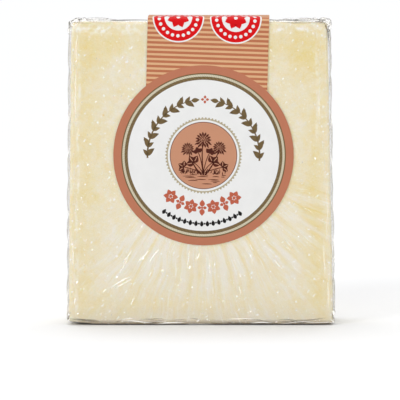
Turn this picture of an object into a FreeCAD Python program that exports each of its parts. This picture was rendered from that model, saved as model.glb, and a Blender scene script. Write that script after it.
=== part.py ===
# A wrapped piece of hard goat cheese, standing on its narrow base.
#
# Three pieces, all in one frame: millimetres, +Z up, the labelled face towards -Y, and the
# origin under the middle of the base.
#
# cheese_block  the cut slab of cheese, a little wider at the base than at the top
# film_wrap     the clear film pulled round it, with the air and the folds that it holds:
#               a closed shell between the slab and the outline that the film stands in
# label         one die-cut paper sticker: a round face on the front, and a tail that runs
#               up over the top edge, across the top and down the back

import FreeCAD, Part
import os
import re

import Sketcher

NODES = ("cheese_block", "film_wrap", "label")

# alias, value in millimetres (degrees for a turn), and what it is
SIZES = [
    ("cheese_half_width", 47.4, "half the slab's width at its base corners"),
    ("cheese_lean_left", 1.3, "how far the left side leans in by the top"),
    ("cheese_lean_right", 2.5, "how far the right side leans in by the top"),
    ("cheese_depth", 23.4, "the slab's thickness"),
    ("cheese_base", 0.6, "height of the slab's base above the ground"),
    ("cheese_top", 109.0, "height of the slab's top at its left corner"),
    ("cheese_fall", 0.8, "how far the top falls from the left corner to the right one"),
    ("lift_left", 1.3, "how far the left base corner stands off the ground"),
    ("lift_right", 0.5, "how far the right base corner stands off the ground"),
    ("foot_left", 34.0, "where the level base ends, left of the middle"),
    ("foot_right", 38.0, "where the level base ends, right of the middle"),
    ("film_half_width", 48.8, "half the film's width at its base corners"),
    ("film_lean_left", 1.0, "how far the film leans in by the top, left"),
    ("film_lean_right", 2.2, "how far the film leans in by the top, right"),
    ("film_depth", 24.0, "thickness over the film, front to back"),
    ("film_top", 110.0, "height of the film's top"),
    ("cheese_corner", 2.2, "radius of the slab's four corners, seen from the front"),
    ("film_corner", 3.0, "radius of the film's four corners, seen from the front"),
    ("cheese_edge", 1.8, "rounding of the slab's edges, front and back"),
    ("film_edge", 2.0, "rounding of the film's edges, front and back"),
    ("paper", 0.15, "thickness of the label"),
    ("face_radius", 32.35, "radius of the label's round face"),
    ("face_centre", 0.9, "how far the round face sits right of the middle"),
    ("face_height", 61.3, "height of the round face's centre"),
    ("tail_width", 43.4, "width of the label's tail"),
    ("tail_offset", 0.5, "how far the tail sits right of the round face's centre"),
    ("tail_turn", 1.5, "how far the label is turned clockwise, in degrees"),
    ("tail_shoulder", 110.4, "height where the tail leaves the front and back"),
    ("tail_crown", 111.4, "height of the tail's arch in the middle of the top"),
    ("tail_edge", 2.4, "radius of the tail's two folds, outside"),
    ("tail_end", 60.0, "height of the tail's lower end on the back"),
    ("sheet_bottom", 25.0, "height where the untrimmed sheet of paper ends"),
    ("sheet_half_width", 45.0, "half the width of the untrimmed sheet of paper"),
    ("spare", 5.0, "how far a cutting solid runs past what it cuts"),
]


def make_sheet(doc):
    """The spreadsheet of driving sizes: a name, its value and what it is on each row."""
    sheet = doc.addObject("Spreadsheet::Sheet", "Sizes")
    for row, (alias, value, meaning) in enumerate(SIZES, start=1):
        sheet.set(f"A{row}", alias)
        sheet.set(f"B{row}", str(value))
        sheet.set(f"C{row}", meaning)
        sheet.setAlias(f"B{row}", alias)
    doc.recompute()


def with_sheet(formula):
    """The formula with each alias written as the sheet's own, such as Sizes.paper."""
    aliases = "|".join(alias for alias, _, _ in SIZES)
    return re.sub(rf"\b({aliases})\b", r"Sizes.\1", formula)


def arc_between(start, end, radius):
    """The arc of that radius from start to end, bulging to the right of the way it runs."""
    half = (end - start) / 2
    rise = radius - (radius**2 - half.Length**2) ** 0.5
    outwards = FreeCAD.Vector(half.y, -half.x, 0).normalize()
    return Part.Arc(start, (start + end) / 2 + outwards * rise, end)


def arch_radius(half_width, rise):
    """The formula of the radius of an arc that rises that far from its middle to its end."""
    return f"(({half_width})^2 + ({rise})^2) / (2 * ({rise}))"


class Model:
    """The document, with short ways to bind sizes, draw sketches and add features."""

    def __init__(self):
        self.doc = FreeCAD.newDocument("wrapped_cheese")
        make_sheet(self.doc)

    def bind(self, target, prop, formula):
        """Drives one property of a feature by a formula of the sheet's aliases."""
        target.setExpression(prop, with_sheet(formula))

    def body(self, name):
        made = self.doc.addObject("PartDesign::Body", name)
        made.Label = name
        made.Placement = FreeCAD.Placement()
        return made

    def sketch(self, body, name, plane):
        """An empty sketch on one of the body's own origin planes."""
        made = body.newObject("Sketcher::SketchObject", name)
        face = next(f for f in body.Origin.OriginFeatures if f.Role == plane)
        made.AttachmentSupport = [(face, "")]
        made.MapMode = "FlatFace"
        return made

    def outline(self, body, name, plane, corners, arcs):
        """A closed outline, anticlockwise. corners holds a pair of formulas for each point, and
        arcs the radius of each side that bulges outwards, by the number of its first point."""
        sketch = self.sketch(body, name, plane)
        count = len(corners)
        points = [FreeCAD.Vector(self.value(x), self.value(y), 0) for x, y in corners]
        for i, start in enumerate(points):
            end = points[(i + 1) % count]
            if i in arcs:
                side = arc_between(start, end, self.value(arcs[i]))
            else:
                side = Part.LineSegment(start, end)
            sketch.addGeometry(side, False)
        for i in range(count):
            sketch.addConstraint(Sketcher.Constraint("Coincident", i, 2, (i + 1) % count, 1))
        for i, pair in enumerate(corners):
            for kind, formula, size in zip("XY", pair, points[i]):
                place = Sketcher.Constraint(f"Distance{kind}", -1, 1, i, 1, size)
                self.drive(sketch, place, f"{kind.lower()}_{i}", formula)
        for i, formula in arcs.items():
            bend = Sketcher.Constraint("Radius", i, self.value(formula))
            self.drive(sketch, bend, f"radius_{i}", formula)
        return sketch

    def drive(self, sketch, constraint, name, formula):
        """Adds a constraint under that name, driven by a formula."""
        index = sketch.addConstraint(constraint)
        sketch.renameConstraint(index, name)
        self.bind(sketch, f"Constraints.{name}", formula)

    def value(self, formula):
        """A formula's value now, for a sketch's first guess."""
        probe = self.doc.addObject("App::FeaturePython", "Probe")
        probe.addProperty("App::PropertyFloat", "Result")
        self.bind(probe, "Result", formula)
        self.doc.recompute()
        result = probe.Result
        self.doc.removeObject(probe.Name)
        return result

    def pad(self, body, sketch, name, formula):
        """A pad of that length, half to each side of the sketch's plane."""
        made = body.newObject("PartDesign::Pad", name)
        made.Profile = sketch
        made.SideType = "Symmetric"
        self.bind(made, "Length", formula)
        sketch.Visibility = False
        self.doc.recompute()
        return made

    def fillet(self, body, base, name, chosen, formula):
        """Rounds the edges of base that the test chosen picks."""
        edges = [
            f"Edge{i}" for i, edge in enumerate(base.Shape.Edges, start=1) if chosen(edge)
        ]
        made = body.newObject("PartDesign::Fillet", name)
        made.Base = (base, edges)
        self.bind(made, "Radius", formula)
        body.Tip = made
        self.doc.recompute()
        return made


def runs_front_to_back(edge):
    """True for a straight edge along Y."""
    ends = [vertex.Point for vertex in edge.Vertexes]
    return len(ends) == 2 and (ends[1] - ends[0]).cross(FreeCAD.Vector(0, 1, 0)).Length < 1e-6


def lies_on_a_face(edge):
    """True for an edge that lies in one plane across Y, so on the front or the back face."""
    return edge.BoundBox.YLength < 1e-6


def slab_outline(half_width, lean_left, lean_right, base, top_left, top_right):
    """The front view of the slab or of the film round it: six corners, anticlockwise."""
    return [
        (f"-({half_width})", f"{base} + lift_left"),
        ("-foot_left", base),
        ("foot_right", base),
        (half_width, f"{base} + lift_right"),
        (f"{half_width} - {lean_right}", top_right),
        (f"-({half_width}) + {lean_left}", top_left),
    ]


def rounded_slab(model, name, corners, half_width, depth, corner_radius, edge_radius):
    """A slab from its front outline. Its base curves up from the level stretch to the two
    corners, which are rounded, as are its edges, front and back."""
    body = model.body(name)
    arcs = {
        0: arch_radius(f"{half_width} - foot_left", "lift_left"),
        2: arch_radius(f"{half_width} - foot_right", "lift_right"),
    }
    outline = model.outline(body, f"{name}_outline", "XZ_Plane", corners, arcs)
    pad = model.pad(body, outline, f"{name}_pad", depth)
    width_now = pad.Shape.BoundBox.XMax

    def is_corner(edge):
        return runs_front_to_back(edge) and abs(edge.CenterOfMass.x) > 0.9 * width_now

    turned = model.fillet(body, pad, f"{name}_corners", is_corner, corner_radius)
    model.fillet(body, turned, f"{name}_edges", lies_on_a_face, edge_radius)
    return body


def cheese_block(model):
    """The cut slab: wider at the base, its top falling a little towards the right corner."""
    corners = slab_outline(
        "cheese_half_width",
        "cheese_lean_left",
        "cheese_lean_right",
        "cheese_base",
        "cheese_top",
        "cheese_top - cheese_fall",
    )
    return rounded_slab(
        model,
        "cheese_block",
        corners,
        "cheese_half_width",
        "cheese_depth",
        "cheese_corner",
        "cheese_edge",
    )


def film_wrap(model, cheese):
    """The film: the outline that it stands in, less the slab, which leaves a closed shell."""
    corners = slab_outline(
        "film_half_width", "film_lean_left", "film_lean_right", "0", "film_top", "film_top"
    )
    outer = rounded_slab(
        model,
        "film_outline",
        corners,
        "film_half_width",
        "film_depth",
        "film_corner",
        "film_edge",
    )
    wrap = model.doc.addObject("Part::Cut", "film_wrap")
    wrap.Label = "film_wrap"
    wrap.Base, wrap.Tool = outer, cheese
    model.doc.recompute()
    return wrap


def arch_body(model, name, grow, bottom):
    """The space under the label's tail, grown outwards by the formula grow: two upright
    sides, an arch across the top from one shoulder to the other, and two rounded folds."""
    body = model.body(name)
    side, shoulder = f"film_depth / 2 + {grow}", f"tail_shoulder + {grow}"
    corners = [
        (f"-({side})", bottom),
        (side, bottom),
        (side, shoulder),
        (f"-({side})", shoulder),
    ]
    arcs = {2: arch_radius(side, "tail_crown - paper - tail_shoulder")}
    sketch = model.outline(body, f"{name}_outline", "YZ_Plane", corners, arcs)
    pad = model.pad(body, sketch, f"{name}_pad", f"2 * (sheet_half_width + {grow})")
    shoulder_now = model.value(shoulder)

    def is_fold(edge):
        middle = edge.CenterOfMass
        along_x = edge.BoundBox.XLength > 1 and edge.BoundBox.YLength < 1e-6
        return along_x and abs(middle.z - shoulder_now) < 1e-3

    model.fillet(body, pad, f"{name}_folds", is_fold, f"tail_edge - paper + {grow}")
    return body


def trimming_body(model, name, corners, towards_back):
    """A plate in the outline of corners, on the front or the back half of the pack."""
    body = model.body(name)
    outline = model.outline(body, f"{name}_outline", "XZ_Plane", corners, {})
    pad = body.newObject("PartDesign::Pad", f"{name}_pad")
    pad.Profile = outline
    pad.SideType = "One side"
    pad.Reversed = towards_back
    model.bind(pad, "Length", "film_depth / 2 + spare")
    outline.Visibility = False
    model.doc.recompute()
    middle = pad.Shape.CenterOfMass.y
    if (middle > 0) != towards_back:
        raise RuntimeError(f"{name} stands on the wrong side of the pack")
    return body


def label(model):
    """One sheet of paper wrapped over the pack, trimmed to the die-cut outline."""
    outside = arch_body(model, "paper_outside", "paper", "sheet_bottom")
    inside = arch_body(model, "paper_inside", "0", "sheet_bottom - spare")
    wrapped = model.doc.addObject("Part::Cut", "paper_sheet")
    wrapped.Base, wrapped.Tool = outside, inside

    face = model.doc.addObject("Part::Cylinder", "face_cutter")
    model.bind(face, "Radius", "face_radius")
    model.bind(face, "Height", "film_depth / 2 + spare")
    face.Placement = FreeCAD.Placement(
        FreeCAD.Vector(0, 0, 0), FreeCAD.Rotation(FreeCAD.Vector(1, 0, 0), 90)
    )
    model.bind(face, "Placement.Base.x", "face_centre")
    model.bind(face, "Placement.Base.z", "face_height")

    # the tail's middle line leans by the turn, one way up the front and the same way on
    # down the back, so that it runs on straight over the top
    high = "tail_crown + spare"
    half = "tail_width / 2 / cos(tail_turn * 1deg)"
    start = "face_centre + tail_offset"
    lean = "tan(tail_turn * 1deg)"
    over = f"{start} + ({high} - face_height) * {lean}"
    front = [
        (f"{start} - {half}", "face_height"),
        (f"{start} + {half}", "face_height"),
        (f"{over} + {half}", high),
        (f"{over} - {half}", high),
    ]
    beyond = f"{over} + ({high} - tail_end) * {lean}"
    back = [
        (f"{beyond} - {half}", "tail_end"),
        (f"{beyond} + {half}", "tail_end"),
        (f"{over} + {half}", high),
        (f"{over} - {half}", high),
    ]
    die = model.doc.addObject("Part::MultiFuse", "die_outline")
    die.Shapes = [
        face,
        trimming_body(model, "tail_front", front, towards_back=False),
        trimming_body(model, "tail_back", back, towards_back=True),
    ]
    made = model.doc.addObject("Part::Common", "label")
    made.Label = "label"
    made.Base, made.Tool = wrapped, die
    model.doc.recompute()
    return made


def check(doc, pieces):
    """Stops if a feature failed, or if a piece is empty, broken or not one closed solid."""
    for made in doc.Objects:
        if "Invalid" in made.State or "Error" in made.State:
            raise RuntimeError(f"{made.Name} failed: {made.State}")
    for piece in pieces:
        shape = piece.Shape
        if shape.isNull() or not shape.isValid() or len(shape.Solids) != 1:
            raise RuntimeError(f"{piece.Label} isn't one valid solid")


def main():
    model = Model()
    cheese = cheese_block(model)
    pieces = [cheese, film_wrap(model, cheese), label(model)]
    model.doc.recompute()
    check(model.doc, pieces)
    os.makedirs("parts", exist_ok=True)
    for piece, name in zip(pieces, NODES):
        if piece.Label != name:
            raise RuntimeError(f"{piece.Label} should be {name}")
        piece.Shape.exportStep(f"parts/{name}.step")
        box = piece.Shape.BoundBox
        print(
            f"{name}: {piece.Shape.Volume / 1000:.2f} cm3,"
            f" x {box.XMin:.2f} to {box.XMax:.2f},"
            f" y {box.YMin:.2f} to {box.YMax:.2f},"
            f" z {box.ZMin:.2f} to {box.ZMax:.2f}"
        )


main()
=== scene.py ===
import math
from itertools import product

import bmesh
import bpy
import numpy as np
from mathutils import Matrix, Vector


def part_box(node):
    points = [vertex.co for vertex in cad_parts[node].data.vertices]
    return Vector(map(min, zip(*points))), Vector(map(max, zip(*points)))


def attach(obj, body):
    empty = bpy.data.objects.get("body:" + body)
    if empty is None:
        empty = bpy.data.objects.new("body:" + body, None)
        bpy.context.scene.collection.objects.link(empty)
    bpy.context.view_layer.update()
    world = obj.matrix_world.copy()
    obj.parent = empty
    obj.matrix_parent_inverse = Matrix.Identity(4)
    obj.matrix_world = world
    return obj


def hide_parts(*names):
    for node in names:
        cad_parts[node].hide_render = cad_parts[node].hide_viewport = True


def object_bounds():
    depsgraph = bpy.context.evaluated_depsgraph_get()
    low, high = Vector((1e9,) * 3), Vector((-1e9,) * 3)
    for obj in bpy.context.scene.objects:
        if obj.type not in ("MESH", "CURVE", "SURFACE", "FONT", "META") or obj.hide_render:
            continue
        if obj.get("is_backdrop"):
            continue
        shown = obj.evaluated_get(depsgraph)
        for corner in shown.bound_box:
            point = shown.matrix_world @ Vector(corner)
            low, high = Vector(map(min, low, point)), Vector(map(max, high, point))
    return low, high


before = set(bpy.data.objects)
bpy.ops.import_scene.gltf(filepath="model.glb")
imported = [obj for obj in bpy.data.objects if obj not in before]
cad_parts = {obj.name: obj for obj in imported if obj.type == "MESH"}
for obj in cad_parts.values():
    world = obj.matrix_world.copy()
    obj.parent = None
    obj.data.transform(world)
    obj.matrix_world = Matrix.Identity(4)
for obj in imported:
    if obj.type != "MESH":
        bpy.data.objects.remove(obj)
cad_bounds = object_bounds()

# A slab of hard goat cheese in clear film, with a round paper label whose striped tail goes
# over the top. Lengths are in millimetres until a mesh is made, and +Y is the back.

MM = 0.001

# ---------------------------------------------------------------- sizes from the frame


def box_mm(node):
    return (np.array(corner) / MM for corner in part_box(node))


def side_lines(node):
    """The x of the node's left and right sides, each as a function of the height."""
    points = np.array([v.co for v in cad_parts[node].data.vertices]) / MM
    heights = points[:, 2] / points[:, 2].max()
    made = []
    for side in (-1, 1):
        ends = (points[near] for near in (heights < 0.1, heights > 0.9))
        (x_low, _, z_low), (x_high, _, z_high) = (end[np.argmax(side * end[:, 0])] for end in ends)
        slope = (x_high - x_low) / (z_high - z_low)
        made.append(lambda z, x=x_low, foot=z_low, slope=slope: x + (z - foot) * slope)
    return made


CHEESE_LOW, CHEESE_HIGH = box_mm("cheese_block")
FILM_LOW, FILM_HIGH = box_mm("film_wrap")
LABEL_LOW, LABEL_HIGH = box_mm("label")
CHEESE_SIDES, FILM_SIDES = side_lines("cheese_block"), side_lines("film_wrap")

FACE_RADIUS = (LABEL_HIGH[0] - LABEL_LOW[0]) / 2
FACE_X = (LABEL_HIGH[0] + LABEL_LOW[0]) / 2
FACE_Z = LABEL_LOW[2] + FACE_RADIUS

# ---------------------------------------------------------------- noise


def noise(points, size, seed):
    """Smooth noise of about -1 to 1, whose bumps are about size across."""
    ways = np.random.default_rng(seed).normal(size=(4096, 3))
    ways /= np.linalg.norm(ways, axis=1, keepdims=True)
    cell = np.floor(points / size).astype(np.int64)
    inside = points / size - cell
    fade = inside**3 * (inside * (inside * 6 - 15) + 10)
    total = np.zeros(len(points))
    for corner in product((0, 1), repeat=3):
        at = cell + corner
        mixed = at[:, 0] * 73856093 ^ at[:, 1] * 19349663 ^ at[:, 2] * 83492791
        slope = (ways[mixed & 4095] * (inside - corner)).sum(1)
        total += slope * np.prod(np.where(corner, fade, 1 - fade), axis=1)
    return 1.6 * total


def fractal(points, size, octaves, seed):
    """Noise with finer noise on it, each octave half as wide and half as strong."""
    return sum(noise(points, size / 2**n, seed + n) / 2**n for n in range(octaves))


def smooth_step(value, low, high):
    """0 below low, 1 above high, with a smooth rise between."""
    t = np.clip((value - low) / (high - low), 0, 1)
    return t * t * (3 - 2 * t)


def hill(value, middle, width):
    """1 in the middle, falling off smoothly on both sides."""
    return np.exp(-(((value - middle) / width) ** 2))


def on_circle(radius, angle):
    """The point that far out at that angle, or the points if either is an array."""
    return np.stack([radius * np.cos(angle), radius * np.sin(angle)], axis=-1)


def at_polar(radius, degrees):
    return on_circle(radius, math.radians(degrees))


# ---------------------------------------------------------------- slabs


def lines(start, *stretches):
    """Grid lines from start on: each stretch gives where it ends and its spacing."""
    made = [start]
    for end, step in stretches:
        count = max(1, round((end - made[-1]) / step))
        made.extend(np.linspace(made[-1], end, count + 1)[1:])
    return np.array(made)


def quads(rows, wide, closed=True):
    """The quads between rows of points, wide points to a row, all the way round if closed."""
    first = np.arange(rows * wide).reshape(rows, wide)
    after = np.roll(first, -1, axis=1)
    if not closed:
        first, after = first[:, :-1], after[:, :-1]
    return np.stack([first[:-1], after[:-1], after[1:], first[1:]], axis=-1).reshape(-1, 4)


def box_surface(xs, ys, zs):
    """The points and outward quads of a box's surface, with grid lines at xs, ys and zs."""
    index = np.zeros((len(xs), len(ys), len(zs)), int)
    on = np.zeros(index.shape, bool)
    on[[0, -1]] = on[:, [0, -1]] = on[:, :, [0, -1]] = True
    index[on] = np.arange(on.sum())
    i, j, k = np.nonzero(on)
    made = []
    for axis, end in product(range(3), (-1, 0)):
        face = index.take(end, axis)
        ring = (face[:-1, :-1], face[1:, :-1], face[1:, 1:], face[:-1, 1:])
        quad = np.stack(ring, axis=-1).reshape(-1, 4)
        made.append(quad[:, ::-1] if (end == 0) != (axis == 1) else quad)
    return np.stack([xs[i], ys[j], zs[k]], axis=1), np.concatenate(made)


# half the width over which the label's tail keeps the film's and the cheese's top edge round
TAIL_HALF = 20.0


class Slab:
    """A rounded upright slab between two leaning sides. Its surface is a grid whose points
    know their way out, so that relief can be added along it. The rounding is that of the
    upright edges, the base, the top, and the top under the label's tail."""

    def __init__(self, low, high, sides, rounding, xs, ys, zs):
        self.low, self.high, self.sides, self.rounding = low, high, sides, rounding
        flat, self.quads = box_surface(xs, ys, zs)
        self.points, self.out = self.surface(flat)

    def surface(self, flat):
        """Where points of the straight box's surface lie on the slab, and their way out."""
        radius, base, top, top_under_tail = self.rounding
        under = np.clip((TAIL_HALF + 3.0 - np.abs(flat[:, 0] - FACE_X)) / 2.5, 0, 1)
        wide = np.full(len(flat), radius)
        ends = (np.full(len(flat), base), top + under * (top_under_tail - top))
        low_radius, high_radius = (np.stack([wide, wide, end], axis=1) for end in ends)
        core = np.clip(flat, self.low + low_radius, self.high - high_radius)
        radii = np.where(flat[:, 2:] < core[:, 2:], low_radius, high_radius)
        out = (flat - core) / radii
        out /= np.linalg.norm(out, axis=1, keepdims=True)
        points = core + radii * out
        # the straight box is fitted between the two leaning sides
        share = (points[:, 0] - self.low[0]) / (self.high[0] - self.low[0])
        left, right = (side(points[:, 2]) for side in self.sides)
        points[:, 0] = left + share * (right - left)
        return points, out

    def unrolled(self, across, up):
        """Points of the straight box for a place on its front, which goes on round the
        edges on to the sides, the top and the base."""
        x = np.clip(across, self.low[0], self.high[0])
        z = np.clip(up, self.low[2], self.high[2])
        return np.stack([x, self.low[1] + np.abs(across - x) + np.abs(up - z), z], axis=1)


# the level stretch of the base, and how far the two corners stand off the ground
FOOT_LEFT, FOOT_RIGHT = -34.0, 38.0
LIFT_LEFT, LIFT_RIGHT = 1.3, 0.5
LIFT_REACH = 18.0


def lifted(points):
    """Lifts the two lower corners off the ground, and less and less further up."""
    x, _, z = points.T
    left = LIFT_LEFT * np.clip((FOOT_LEFT - x) / (FOOT_LEFT - FILM_LOW[0]), 0, 1) ** 2
    right = LIFT_RIGHT * np.clip((x - FOOT_RIGHT) / (FILM_HIGH[0] - FOOT_RIGHT), 0, 1) ** 2
    rise = (left + right) * np.clip(1 - z / LIFT_REACH, 0, 1) ** 2
    return points + rise[:, None] * (0, 0, 1)


def placed(name, data):
    """An object for a mesh, light or camera, in the scene."""
    made = bpy.data.objects.new(name, data)
    bpy.context.scene.collection.objects.link(made)
    return made


def new_piece(name, node, points, faces, slot, materials, numbers=None, smooth=True, **attributes):
    """A mesh piece from points in millimetres, which rides on the pack and stands for a node."""
    mesh = bpy.data.meshes.new(name)
    mesh.from_pydata((points * MM).tolist(), [], [list(f) for f in faces])
    mesh.polygons.foreach_set("use_smooth", np.full(len(mesh.polygons), smooth))
    for material in materials:
        mesh.materials.append(material)
    if numbers is not None:
        mesh.polygons.foreach_set("material_index", numbers)
    for key, values in attributes.items():
        layer = mesh.attributes.new(key, "FLOAT", "POINT")
        layer.data.foreach_set("value", np.asarray(values, np.float32))
    mesh.update()
    piece = placed(name, mesh)
    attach(piece, "root")
    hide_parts(node)
    return piece


# ---------------------------------------------------------------- materials


class Nodes:
    """A material's node tree, with short ways to add nodes and join them."""

    def __init__(self, name):
        self.material = bpy.data.materials.new(name)
        self.material.use_nodes = True
        self.tree = self.material.node_tree
        self.tree.nodes.clear()

    def add(self, kind, inputs=None, **settings):
        """The outputs of a new node. Each input is a value or another node's output."""
        made = self.tree.nodes.new("ShaderNode" + kind)
        for key, value in settings.items():
            setattr(made, key, value)
        for key, value in (inputs or {}).items():
            if isinstance(value, bpy.types.NodeSocket):
                self.tree.links.new(value, made.inputs[key])
            else:
                made.inputs[key].default_value = value
        return made.outputs

    def maths(self, operation, *values):
        return self.add("Math", dict(enumerate(values)), operation=operation)[0]

    def times(self, value, factor):
        return self.maths("MULTIPLY", value, factor)

    def line(self, value, slope, start):
        return self.maths("MULTIPLY_ADD", value, slope, start)

    def axes(self, vector):
        return self.add("SeparateXYZ", {"Vector": vector})

    def attribute(self, name):
        return self.add("Attribute", attribute_name=name)["Fac"]

    def mapped(self, vector, key, value):
        return self.add("Mapping", {"Vector": vector, key: value})[0]

    def place(self):
        """Where a point is, in millimetres."""
        return self.mapped(self.add("TexCoord")["Object"], "Scale", (1 / MM,) * 3)

    def noise(self, vector, size, detail=3.0, rough=0.55, output="Fac"):
        """Noise of 0 to 1, with features about size millimetres across."""
        inputs = {"Vector": vector, "Scale": 1 / size, "Detail": detail, "Roughness": rough}
        return self.add("TexNoise", inputs)[output]

    def warped(self, vector, size, reach):
        """The vector moved about by noise of that size, as far as reach."""
        drift = self.noise(vector, size, 1.0, 0.5, "Color")
        inputs = {0: drift, 1: (reach,) * 3, 2: vector}
        return self.add("VectorMath", inputs, operation="MULTIPLY_ADD")[0]

    def between(self, value, low, high):
        """The value's way from low to high, as 0 to 1."""
        return self.add("MapRange", {"Value": value, "From Min": low, "From Max": high})[0]

    def spots(self, vector, spacing, size, share):
        """1 in small spots: about spacing apart, size across, in that share of the cells."""
        cell = self.add("TexVoronoi", {"Vector": vector, "Scale": 1 / spacing})
        spot = self.between(cell["Distance"], 0.5 * size / spacing, 0.25 * size / spacing)
        return self.times(spot, self.maths("LESS_THAN", self.axes(cell["Color"])["X"], share))

    def mix(self, share, first, second):
        """A colour between two, each a colour or a socket."""
        return self.add("Mix", {0: share, 6: first, 7: second}, data_type="RGBA")[2]

    def bump(self, height, depth, strength):
        """Bump from a height of 0 to 1 that stands for depth millimetres."""
        inputs = {"Height": height, "Distance": depth * MM, "Strength": strength}
        return self.add("Bump", inputs)[0]

    def principled(self, base, rough, **inputs):
        """A surface shader. An input's name has _ for its spaces."""
        named = {key.replace("_", " "): value for key, value in inputs.items()}
        return self.add("BsdfPrincipled", {"Base Color": base, "Roughness": rough, **named})[0]

    def finish(self, shader):
        self.add("OutputMaterial", {"Surface": shader})
        return self.material


def colour(red, green, blue):
    """A linear colour from 0 to 255 screen values."""
    shares = [v / 255 for v in (red, green, blue)]
    linear = [s / 12.92 if s < 0.04045 else ((s + 0.055) / 1.055) ** 2.4 for s in shares]
    return (*linear, 1.0)


PALE_CHEESE = colour(241, 235, 220)
DEEP_CHEESE = colour(236, 216, 148)
WHITE_CRYSTAL_AND_GLINT = colour(254, 252, 246)
SPECK_CHEESE = colour(238, 196, 92)
PAINTED_FOOT_SHADE = colour(222, 214, 194)
PAINTED_BASE_SHADE = colour(152, 132, 104)
CLEAR = (1.0, 1.0, 1.0, 1.0)
EDGE_ON = (0.80, 0.79, 0.78, 1.0)
PAINTED_SHADE_TINT = (0.46, 0.43, 0.40, 1.0)
PAINTED_GLINT_WHITE = colour(255, 254, 251)


def fan_place(nodes, place, spokes, reach):
    """Coordinates round the label's centre: the angle, and the distance from it. Noise on
    them runs in rays, spokes of them to a radian, each about reach millimetres long."""
    axes = nodes.axes(place)
    across = nodes.maths("SUBTRACT", axes["X"], FACE_X)
    down = nodes.maths("SUBTRACT", FACE_Z, axes["Z"])
    angle = nodes.maths("ARCTAN2", across, down)
    squares = nodes.maths("ADD", *(nodes.times(v, v) for v in (across, down)))
    distance = nodes.maths("DIVIDE", nodes.maths("SQRT", squares), reach)
    return nodes.add("CombineXYZ", {"X": nodes.times(angle, spokes), "Y": distance})[0]


def cheese_material():
    """Pale ivory cut cheese: mottled, yellower in clouds and towards its edges, with rays
    where the film is pulled tight, small white crystals that also serve as painted glints, and
    a few deep yellow specks. It carries painted light: painted shade at the foot and along the
    lowest edge, painted highlights along the top and the upright edges, and painted glints in
    thin rays where the film is taut."""
    nodes = Nodes("cheese")
    place = nodes.place()
    taut = nodes.attribute("taut")
    mottle = 0.0
    for size, weight in ((5.5, 1.5), (1.9, 1.1), (0.8, 1.0), (0.45, 0.8)):
        bumpy = nodes.maths("SUBTRACT", nodes.noise(place, size, 2.0, 0.6), 0.5)
        mottle = nodes.line(bumpy, weight, mottle)
    tone = nodes.line(mottle, nodes.line(taut, -0.5, 1.0), nodes.attribute("yellow_and_painted_light"))
    bent = nodes.warped(place, 14.0, 5.0)
    rays = nodes.noise(fan_place(nodes, bent, 30.0, 26.0), 1.0, 2.0, 0.7)
    rays = nodes.times(nodes.maths("SUBTRACT", rays, 0.5), taut)
    tone = nodes.between(nodes.line(rays, 2.4, tone), -0.4, 1.38)
    base = nodes.mix(tone, PALE_CHEESE, DEEP_CHEESE)
    height = nodes.axes(place)["Z"]
    lowest = nodes.line(nodes.noise(place, 3.0), 1.6, 1.4)
    ragged = nodes.warped(place, 0.55, 1.1)
    turned = nodes.mapped(ragged, "Rotation", (0.0, math.radians(48), 0.0))
    slanted = nodes.mapped(turned, "Scale", (0.45, 1.2, 1.2))
    crowded = nodes.line(nodes.attribute("near"), 0.32, 0.09)
    torn = nodes.between(nodes.noise(ragged, 1.5, 2.0), 0.36, 0.56)
    # painted glints: thin white rays where the film is taut
    painted_gleam = nodes.noise(fan_place(nodes, bent, 44.0, 9.0), 1.0, 2.0, 0.6)
    painted_gleam = nodes.times(nodes.between(painted_gleam, 0.60, 0.72), taut)
    # painted shade at the foot and darker still at the lowest edge, three sorts of white crystals that
    # are partly painted glints, painted highlights along the top and edges, painted glints in whitish
    # rays where the film is taut, specks
    for share, strength, over in (
        (nodes.between(height, 7.0, 1.0), 0.45, PAINTED_FOOT_SHADE),
        (nodes.between(height, lowest, 0.6), 0.75, PAINTED_BASE_SHADE),
        (nodes.spots(ragged, 2.3, 1.00, crowded), 1.0, WHITE_CRYSTAL_AND_GLINT),
        (nodes.spots(slanted, 2.0, 0.85, crowded), 1.0, WHITE_CRYSTAL_AND_GLINT),
        (nodes.spots(ragged, 1.1, 0.55, 0.32), 0.7, WHITE_CRYSTAL_AND_GLINT),
        (nodes.attribute("white"), torn, WHITE_CRYSTAL_AND_GLINT),
        (painted_gleam, 0.5, WHITE_CRYSTAL_AND_GLINT),
        (nodes.spots(place, 7.0, 1.0, 0.22), 0.6, SPECK_CHEESE),
    ):
        base = nodes.mix(nodes.times(share, strength), base, over)
    curd = nodes.noise(place, 1.6, 5.0, 0.65)
    shader = nodes.principled(
        base,
        nodes.line(curd, 0.25, 0.38),
        Subsurface_Weight=0.25,
        Subsurface_Radius=(1.0, 0.65, 0.35),
        Subsurface_Scale=0.0012,
        Specular_IOR_Level=0.4,
        Normal=nodes.bump(curd, 0.25, 0.6),
    )
    return nodes.finish(shader)


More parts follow.
